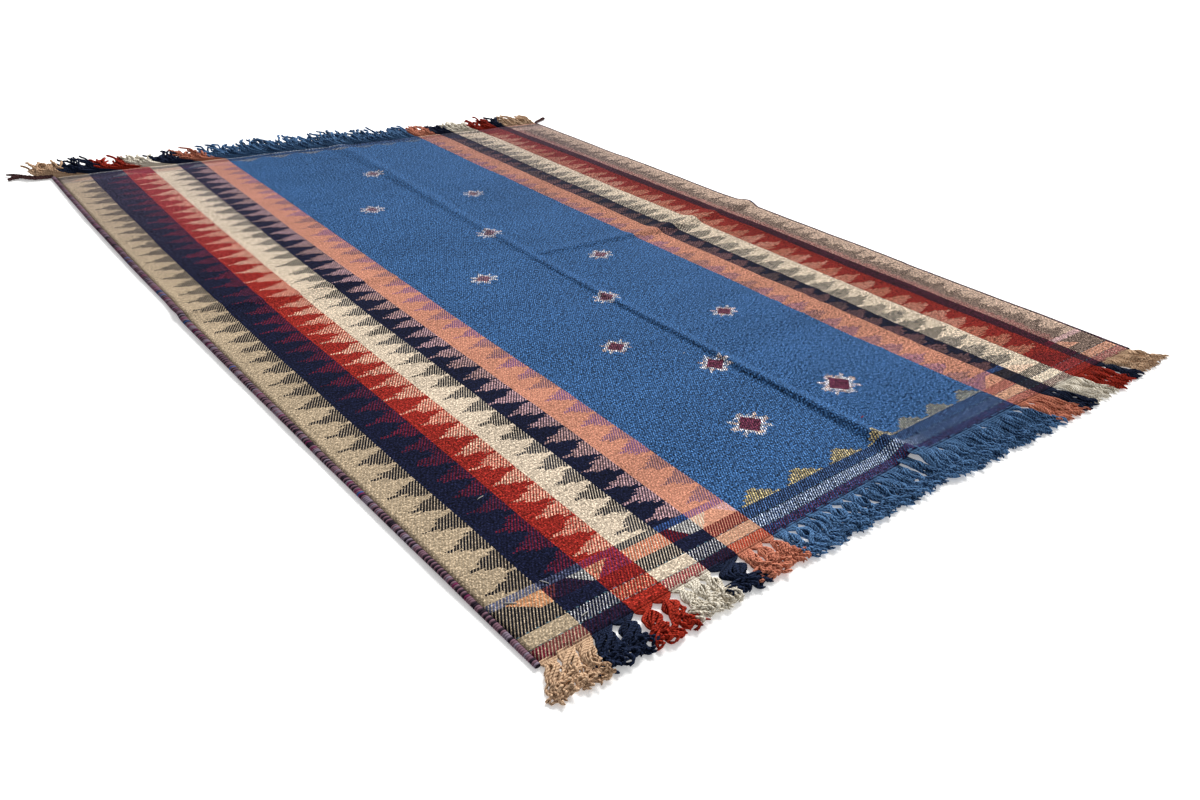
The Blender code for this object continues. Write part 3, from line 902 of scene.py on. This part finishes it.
def band_weft(loom, weft):
    """The weft colours of the end bands laid over those of the middle."""
    seen = loom.y.above(0.0) * -FAR_DULLNESS + 1.0
    light = loom.faded.mix(loom.paint(BANDS, "light"), color("blue"))
    end = loom.faded.mix(loom.paint(BANDS, "end"), color("aubergine"))
    end = loom.s.below(CORNER_PATCH).mix(end, color("maroon"))
    for reach, share, paint in (
        (EDGE_BAND, seen, loom.paint(BANDS, "edge")),
        (LENS_ROW[1], seen, lens_weft(loom)),
        (LENS_ROW[0], 1.0, loom.paint(BANDS, "hatch")),
        (LIGHT_BAND[1], 1.0, light),
        (END_BAND, 1.0, end),
    ):
        weft = (loom.from_end.below(reach) * share).mix(weft, paint)
    return weft


def twined_lines(loom):
    """1 on the two thin lines that bound the light band, and the colour of their dots."""
    first = loom.from_end.between(END_BAND, LIGHT_BAND[0])
    second = loom.from_end.between(LIGHT_BAND[1], HATCH_BAND)
    dots = (loom.s / TWINE_DOT).part().below(TWINE_DOT_SHARE)
    return first.most(second), (dots * TWINE_DOT_TINT).mix(color("soot"), color("teal"))


def weave_material():
    material, tree = start_material("rug_weave")
    loom = Loom(tree)
    tooth, depth = teeth(loom)
    lot = noise(loom.stripe * 5.0, loom.y * 7.0).soft(*DYE_LOT)
    lot = loom.is_last.pick(depth.soft(*LAST_TOOTH_LOT), lot)
    tooth_paint = lot.mix(loom.paint(STRIPES, "tooth_a"), loom.paint(STRIPES, "tooth_b"))
    in_field = loom.from_end.above(EDGE_BAND)
    weft = (tooth * in_field).mix(loom.paint(STRIPES, "weft"), tooth_paint)
    weft = band_weft(loom, weft)
    heart, comb = stars(loom)
    pale = noise(loom.s * 90.0, loom.y * 90.0).soft(*COMB_LOT)
    weft = comb.mix(weft, pale.mix(color("snow"), color("shell")))
    weft = heart.mix(weft, color("heart"))
    warp = heart.mix(loom.paint(STRIPES, "warp"), color("dark_heart"))
    in_light = loom.from_end.between(END_BAND, HATCH_BAND) * loom.is_blue
    warp = gold_figures(loom).most(in_light).mix(warp, color("denim_dark"))
    in_hatch = loom.from_end.between(HATCH_BAND, LENS_ROW[0]) * loom.is_blue
    warp = in_hatch.mix(warp, color("hatch_blue"))
    up = loom.warp_up()
    line, twine = twined_lines(loom)
    paint = (line * TWINE_SHARE).mix(up.mix(weft, warp), twine)
    # Painted sheen: the stripes other than the blue one turn greyer and bluer towards the far end
    sheen_veil = loom.along.soft(*SHEEN_Y) * loom.is_blue.of(1.0) * FAR_SHEEN
    paint = weave_shade(loom, up).shade(sheen_veil.mix(paint, color("sheen_veil")))
    height = loom.roundness(up) + line * TWINE_HEIGHT
    return finish_material(material, paint, 0.9, (height, 0.0004, 0.6))


def weave_shade(loom, up):
    """How light or dark each place is: painted thread shade, yarn flecks and slow bands."""
    streak_x = noise(loom.thread_no * 0.9, loom.along * 26.0, 1.0)
    streak_y = noise(loom.across * 110.0, loom.row_no * 0.7, 1.0)
    made = (up.pick(streak_x, streak_y).soft(*STREAK_STEP) - 0.5) * STREAK
    for across, shift, along, detail, roughness, start, full, zero, weight in GRAINS:
        lumps = noise(loom.across * across + shift, loom.along * along, detail, roughness)
        made = made + (lumps.soft(start, full) - zero) * weight
    speckle = noise(loom.across * 150.0, loom.along * 130.0, 1.0).soft(*SPECKLE_STEP) - 0.5
    made = made + speckle * loom.stripe.above(BLUE + 0.5) * RIGHT_SPECKLE
    # Slow light and dark bands, stretched across the rug
    slow = noise(loom.across * 2.6, loom.along * 9.0, 3.0) - 0.5
    made = made * loom.number(STRIPES.column("grain")) + slow * SLOW_BANDS + 1.0
    # Painted shade: each thread lighter on its round top and darker at its sides
    thread = loom.roundness(up) * THREAD_TOP_HIGHLIGHT + THREAD_SIDE_SHADE
    return made.most(DARKEST) * thread * loom.number(STRIPES.column("tone"))


def cord_material():
    """Dark yarn wound round the side cords turn by turn, with odd light turns and painted shade between."""
    material, tree = start_material("wound_cord")
    around, turns = uv_places(tree, "turns")
    turn = (turns - around).floor()
    luck = dice(turn * 1.3, 4.0)
    is_even = (turn * 0.5).part().below(0.25)
    is_red = (luck[0] * 0.6 + is_even * 0.4).above(RED_TURNS)
    paint = is_red.mix(color("cord_dark"), color("cord_red"))
    paint = luck[1].above(DUSK_TURNS).mix(paint, color("dusk"))
    paint = luck[2].above(PLUM_TURNS).mix(paint, color("plum"))
    paint = luck[2].below(DENIM_TURNS).mix(paint, color("denim"))
    across = ((turns - around).part() * 2.0 - 1.0).size()
    groove = (across * across).of(1.0)
    fiber = noise(around * 14.0, turns * 5.0)
    # Painted shade: each turn darker towards the grooves between turns, with random fibre flecks
    paint = (groove * 0.5 + fiber * 0.6 + 0.35).shade(paint)
    return finish_material(material, paint, 0.85, (groove + fiber * 0.3, 0.0006, 0.7))


def yarn_material(name, light, dark):
    """Twisted yarn: two plies wound round each other, painted lighter on their tops and darker between."""
    material, tree = start_material("yarn_" + name)
    around, along = uv_places(tree, "strand")
    strand = around.floor()
    luck = dice(strand * 1.9, 2.0)[0] - 0.5
    ply = ((around.part() * 2.0 + along / PLY_RUN) * math.pi).sine().size()
    fiber = noise(around * 9.0, along * 900.0)
    patch = noise(strand * 3.3, along * 60.0, 1.0) - 0.5
    # Painted highlight and shade: ply tops lighter, grooves between plies darker, mixed with yarn tone
    share = ply * 0.55 + fiber * 0.45 + luck * 0.5 + patch * 0.4
    paint = share.soft(0.1, 0.9).mix(linear(dark), linear(light))
    return finish_material(material, paint, 0.9, (ply + fiber * 0.4, 0.0005, 0.8))


def speck_material(name):
    material, tree = start_material("speck_" + name)
    share = object_noise(tree, 1500.0) * 0.25 + 0.75
    return finish_material(material, share.mix(color("soot"), color(name)), 0.9)


def floor_material():
    material, tree = start_material("pale_floor")
    paint = (object_noise(tree, 3.0) * 0.02 + 0.99).shade(FLOOR_COLOR[:3])
    shader = tree.nodes["Principled BSDF"]
    fill(shader, {"Emission Color": FLOOR_COLOR, "Emission Strength": FLOOR_GLOW})
    return finish_material(material, paint, 0.95)


def finish_piece(piece, node):
    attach(piece, BODY)
    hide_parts(node)
    return piece


def link(name, data):
    """A new object in the scene."""
    thing = bpy.data.objects.new(name, data)
    bpy.context.scene.collection.objects.link(thing)
    return thing


class Builder:
    """Points, faces and UV places of one mesh while it is made."""

    def __init__(self):
        self.points = []
        self.faces = []
        self.uvs = []

    def face(self, corners, places):
        self.faces.append(corners)
        self.uvs += places

    def tube(self, first, around, runs, cap):
        """Faces of a closed tube over rings of points: UV places around, along and at its ends."""
        sides = len(around)
        for k, (start, stop) in enumerate(zip(runs, runs[1:])):
            a = first + k * sides
            b = a + sides
            for n, (low, high) in enumerate(around):
                m = (n + 1) % sides
                places = [(low, start), (low, stop), (high, stop), (high, start)]
                self.face((a + n, b + n, b + m, a + m), places)
        last = first + (len(runs) - 1) * sides
        self.face(tuple(range(first, first + sides)), [(cap, runs[0])] * sides)
        self.face(tuple(reversed(range(last, last + sides))), [(cap, runs[-1])] * sides)

    def make(self, name, uv_name, material):
        mesh = bpy.data.meshes.new(name)
        mesh.from_pydata(self.points, [], self.faces)
        layer = mesh.uv_layers.new(name=uv_name)
        layer.data.foreach_set("uv", [value for place in self.uvs for value in place])
        mesh.materials.append(material)
        mesh.shade_smooth()
        mesh.update()
        return link(name, mesh)


def even_places(start, end, step):
    count = max(1, round((end - start) / step))
    return [start + (end - start) * k / count for k in range(count + 1)]


def refined(places, middle, reach):
    """The same places with one more between each two that lie near a crease."""
    made = []
    for low, high in zip(places, places[1:]):
        made.append(low)
        if abs((low + high) / 2 - middle) < reach:
            made.append((low + high) / 2)
    made.append(places[-1])
    return made


def build_cloth(material):
    columns = even_places(0.0, LOOM_W, CLOTH_STEP)
    for reach in LONG_REFINED:
        columns = refined(columns, -NEAR_LINES[0], reach)
    rows = refined(even_places(-HALF_LENGTH, HALF_LENGTH, CLOTH_STEP), *CROSS_REFINED)
    made = Builder()
    under = []
    for along in rows:
        lines = boundaries(along)
        for across in columns:
            x = carry(across, ACROSS_LINES, lines)
            y = along_to_y(along, x)
            z = rise(x, y)
            made.points.append((x, y, z + CLOTH_T))
            under.append((x, y, z))
    top_count = len(made.points)
    made.points += under
    wide = len(columns)
    for j in range(len(rows) - 1):
        for i in range(wide - 1):
            a = j * wide + i
            corners = (a, a + 1, a + 1 + wide, a + wide)
            left, right = columns[i:i + 2]
            low, high = rows[j:j + 2]
            places = [(left, low), (right, low), (right, high), (left, high)]
            made.face(corners, places)
            made.face(tuple(top_count + c for c in reversed(corners)), places[::-1])
    add_rim(made, columns, rows, top_count)
    return finish_piece(made.make("rug_cloth", "loom", material), "rug_body")


def add_rim(made, columns, rows, under):
    """The thin side faces of the cloth all round."""
    wide = len(columns)
    tall = len(rows)
    rim = [(i, 0) for i in range(wide - 1)]
    rim += [(wide - 1, j) for j in range(tall - 1)]
    rim += [(i, tall - 1) for i in range(wide - 1, 0, -1)]
    rim += [(0, j) for j in range(tall - 1, 0, -1)]
    for (i, j), (k, m) in zip(rim, rim[1:] + rim[:1]):
        a = j * wide + i
        b = m * wide + k
        start = (columns[i], rows[j])
        stop = (columns[k], rows[m])
        made.face((a, under + a, under + b, b), [start, start, stop, stop])


def build_cord(side, material):
    """A side cord as a tube whose skin swells at each turn of its winding."""
    made = Builder()
    pitch = CORD_TURN[side]
    sign = SIGNS[side]
    rows = even_places(-HALF_LENGTH, HALF_LENGTH, pitch / RINGS_PER_TURN)
    for y in rows:
        half_w = CORD_SIZES.read(y, side + "_w") / 2
        half_h = CORD_SIZES.read(y, side + "_h") / 2
        edge = SIDES.read(y, side + "_x")
        x = edge + sign * (GAP + half_w)
        z = rise(edge, y) + half_h
        for k in range(CORD_SIDES):
            share = k / CORD_SIDES
            angle = 2.0 * math.pi * share
            phase = (y / pitch - sign * share) % 1.0
            swelling = 1.0 - TURN_DEPTH * (2.0 * phase - 1.0) ** 2
            u = math.cos(angle) * half_w * swelling
            v = math.sin(angle) * half_h * swelling
            made.points.append((x + u, y, z + v))
    around = [(sign * k / CORD_SIDES, sign * (k + 1) / CORD_SIDES) for k in range(CORD_SIDES)]
    made.tube(0, around, [y / pitch for y in rows], 0.0)
    cord = made.make(f"wound_cord_{side}", "turns", material)
    return finish_piece(cord, "edge_cord_" + side)


def frame_at(path, k):
    """Two directions square to a path at its k-th point."""
    run = (path[min(len(path) - 1, k + 1)] - path[max(0, k - 1)]).normalized()
    side = run.cross(Vector((0.0, 0.0, 1.0)))
    if side.length < 0.01:
        side = Vector((1.0, 0.0, 0.0))
    side.normalize()
    return side, side.cross(run).normalized()


def add_strand(made, path, radii, sides, number):
    """A closed tube along a path. Its UV place is its number plus the share around, and the run."""
    first = len(made.points)
    runs = [0.0]
    for a, b in zip(path, path[1:]):
        runs.append(runs[-1] + (b - a).length)
    for k, (point, radius) in enumerate(zip(path, radii)):
        side, up = frame_at(path, k)
        for n in range(sides):
            angle = 2.0 * math.pi * n / sides
            out = side * math.cos(angle) * radius
            made.points.append(point + out + up * math.sin(angle) * radius)
    around = [(number + n / sides, number + (n + 1) / sides - SEAM) for n in range(sides)]
    made.tube(first, around, runs, number + 0.5)


def near_strand(bundle, share, radius, luck):
    """The path of one yarn of a near bundle: gathered, twisted into its rope, then frayed."""
    start, stop, full, turn, spin = bundle
    middle = (start + stop) / 2
    root = start + share * (stop - start)
    root_y = end_y("near", root) + NEAR_ROOT
    lean = LEANS.read(middle, "near_shift")
    wide = (stop - start) * WAIST
    tangle = LEANS.read(middle, "tangle")
    angle = math.pi * (1.0 - share) * luck.choice((-1.0, 1.0))
    length = full * luck.uniform(*NEAR_LENGTHS)
    spread = (share - 0.5) * (stop - start) * SPLAY
    spread += luck.uniform(-NEAR_STRAY, NEAR_STRAY) * tangle
    waves = luck.uniform(*NEAR_WAVES)
    phase = luck.uniform(0.0, 2.0 * math.pi)
    amount = luck.uniform(*NEAR_WAVE_SIZES) * tangle
    path = []
    for ring in range(NEAR_RINGS + 1):
        t = ring / NEAR_RINGS
        gather = smooth(0.05, 0.40, t)
        fray = smooth(0.40, 0.90, t)
        twist = angle + turn + spin * 2.0 * math.pi * t
        rope_x = wide * math.cos(twist) * (1.0 - fray) + spread * fray
        rope_z = ROPE_H * (1.0 + math.sin(twist)) * (1.0 - 0.4 * fray) + radius
        wave = math.sin(phase + waves * 2.0 * math.pi * t)
        x = middle + (root - middle) * (1.0 - gather) + rope_x * gather
        x += lean * t + (0.25 * gather + 0.75 * fray) * amount * wave
        y = root_y - t * length + fray * amount * 1.2 * math.cos(phase + waves * 5.0 * t)
        base = rise(middle, end_y("near", middle)) * max(0.0, 1.0 - 1.3 * t)
        z = base + (CLOTH_T - radius / 2) * (1.0 - gather) + rope_z * gather
        z += fray * (0.6 + wave) * amount * 0.8
        path.append(Vector((x, y, max(z, radius * (1.0 + TIP_OPENING["near"])))))
    return path


def far_strand(bundle, share, radius, luck):
    """The path of one yarn of a far tuft: it leans over, stands up and falls outwards."""
    start, stop, full = bundle
    middle = (start + stop) / 2
    root = start + share * (stop - start)
    root_y = end_y("far", root) - FAR_ROOT
    lean = LEANS.read(middle, "far_shift")
    reach = luck.uniform(*(FAR_SHORT if luck.random() < SHORT_SHARE else FAR_LONG))
    length = full * reach
    top = TUFTS.read(middle, "height") * luck.uniform(*FAR_HEIGHTS) * (0.35 + 0.65 * reach)
    peak = luck.uniform(*FAR_PEAKS)
    spread = luck.uniform(-FAR_STRAY, FAR_STRAY)
    waves = luck.uniform(*FAR_WAVES)
    phase = luck.uniform(0.0, 2.0 * math.pi)
    path = []
    for ring in range(FAR_RINGS + 1):
        t = ring / FAR_RINGS
        turn = phase + waves * 6.28 * t
        x = root + (middle - root) * 0.3 * smooth(0.0, 0.4, t) + lean * smooth(0.0, 0.45, t)
        x += spread * t * t + FAR_WAVE_X * t * math.sin(turn)
        y = root_y + t * length + FAR_WAVE_Y * t * math.cos(turn)
        arc = 0.35 * smooth(0.0, 0.25, t) + 0.65 * smooth(0.15, peak, t)
        z = rise(root, root_y) * (1.0 - t) + CLOTH_T / 2 + (top - CLOTH_T / 2) * arc
        path.append(Vector((x, y, clamp(z, radius, FRINGE_TOP - radius))))
    return path


def yarn_radii(rings, radius, tip):
    """Radii along a yarn: thin at its root, and opened at its tip by a share of its radius."""
    made = []
    for ring in range(rings + 1):
        t = ring / rings
        body = (0.6 + 0.4 * smooth(0.0, 0.2, t)) * (1.0 + tip * smooth(0.60, 0.92, t))
        made.append(radius * body * (1.0 - 0.6 * smooth(0.95, 1.0, t)))
    return made


def build_fringe(stripe, end, start, stop, material, luck):
    """All warp ends of one stripe at one end of the rug, as one piece."""
    name = stripe["name"]
    bundles = stripe[end + "_bundles"]
    made = Builder()
    wide = (stop - start) / bundles
    yarns = max(FEWEST_YARNS, round(wide / YARN_STEP[end]))
    strand = near_strand if end == "near" else far_strand
    for b in range(bundles):
        left = start + b * wide
        middle = left + wide / 2
        full = FRINGE_REACH_Y - abs(end_y(end, middle)) - LEANS.read(middle, end + "_short")
        bundle = (left, left + wide, full + luck.uniform(*LENGTH_LUCK))
        if end == "near":
            bundle += (luck.uniform(0.0, 6.28), luck.uniform(*ROPE_SPINS))
        for k in range(yarns):
            radius = YARN_R * END_YARN[end] * luck.uniform(*YARN_SIZES)
            path = strand(bundle, (k + 0.5) / yarns, radius, luck)
            radii = yarn_radii(len(path) - 1, radius, TIP_OPENING[end])
            add_strand(made, path, radii, YARN_SIDES, b * yarns + k)
    piece = made.make(f"warp_ends_{end}_{name}", "strand", material)
    return finish_piece(piece, f"fringe_{end}_{name}")


def build_tails(side, material):
    """The loose ends of a side cord at its far corner: wound yarn that thins at the tip."""
    sign = SIGNS[side]
    edge = SIDES.read(HALF_LENGTH, side + "_x")
    made = Builder()
    for number, rows in enumerate(TAILS[side]):
        path = []
        radii = []
        count = len(rows) - 1
        for ring in range(TAIL_RINGS + 1):
            at = ring / TAIL_RINGS * count
            low = min(count - 1, int(at))
            share = at - low
            out, along, height, radius = (
                a + (b - a) * share for a, b in zip(rows[low], rows[low + 1])
            )
            wave = math.sin(ring * 1.7 + number)
            x = edge + sign * (TAIL_ROOT + out)
            path.append(Vector((x, HALF_LENGTH + along, height + wave * TAIL_WAVE)))
            radii.append(radius * (1.0 + 0.12 * wave))
        add_strand(made, path, radii, CORD_SIDES, number)
    piece = made.make(f"cord_ends_{side}", "strand", material)
    return finish_piece(piece, f"cord_tail_{side}")


def build_fringes(materials):
    luck = random.Random(FRINGE_SEED)
    pieces = []
    for end, y in (("near", -HALF_LENGTH), ("far", HALF_LENGTH)):
        lines = boundaries(y)
        for row, start, stop in zip(STRIPES.rows, lines, lines[1:]):
            stripe = dict(zip(STRIPES.columns, row))
            material = materials[stripe["yarn"]]
            pieces.append(build_fringe(stripe, end, start, stop, material, luck))
    return pieces


def build_specks():
    """Odd bits of thread that lie on the cloth, one small piece for each colour."""
    for name in sorted(set(row[-1] for row in SPECKS)):
        made = Builder()
        for number, (x, y, length, turn, paint) in enumerate(SPECKS):
            if paint != name:
                continue
            run = Vector((math.cos(math.radians(turn)), math.sin(math.radians(turn)), 0.0))
            path = []
            for share in (-0.5, -0.25, 0.0, 0.25, 0.5):
                point = Vector((x, y, 0.0)) + run * length * share
                hump = SPECK_R * (1.2 - 2.0 * share * share)
                point.z = rise(point.x, point.y) + CLOTH_T + hump
                path.append(point)
            radii = [SPECK_R * share for share in (0.6, 1.0, 1.0, 1.0, 0.6)]
            add_strand(made, path, radii, YARN_SIDES, number)
        piece = made.make("stray_thread_" + name, "strand", speck_material(name))
        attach(piece, BODY)


def build_floor():
    bpy.ops.mesh.primitive_plane_add(size=FLOOR_SIZE)
    floor = bpy.context.object
    floor.name = "floor"
    floor.data.materials.append(floor_material())


def build_light():
    """A pale studio all round, and one large soft lamp low behind the rug's right side."""
    world = bpy.data.worlds.new("studio")
    bpy.context.scene.world = world
    world.use_nodes = True
    background = world.node_tree.nodes["Background"]
    fill(background, {"Color": (1.0, 1.0, 1.0, 1.0), "Strength": SKY_POWER})
    data = bpy.data.lights.new("key", "SUN")
    data.energy = KEY_POWER
    data.angle = math.radians(KEY_ANGLE)
    data.color = KEY_COLOR
    light = link("key", data)
    light.rotation_mode = "QUATERNION"
    light.rotation_quaternion = (-Vector(KEY_FROM)).to_track_quat("-Z", "Y")


def build_camera():
    data = bpy.data.cameras.new("camera")
    data.lens = CAMERA_LENS
    camera = link("camera", data)
    camera.location = CAMERA_AT
    camera.rotation_mode = "QUATERNION"
    look = Vector(CAMERA_TO) - Vector(CAMERA_AT)
    roll = Quaternion((0.0, 0.0, 1.0), math.radians(CAMERA_ROLL))
    camera.rotation_quaternion = look.to_track_quat("-Z", "Y") @ roll
    bpy.context.scene.camera = camera


def main():
    bpy.context.scene.view_settings.view_transform = "Standard"
    cloth = build_cloth(weave_material())
    wound = cord_material()
    cords = [build_cord(side, wound) for side in SIGNS]
    yarns = {name: yarn_material(name, *shades) for name, shades in YARN_LIT_AND_SHADED.items()}
    tails = [build_tails(side, yarns["tail"]) for side in SIGNS]
    fringes = build_fringes(yarns)
    build_specks()
    build_floor()
    build_light()
    build_camera()


main()
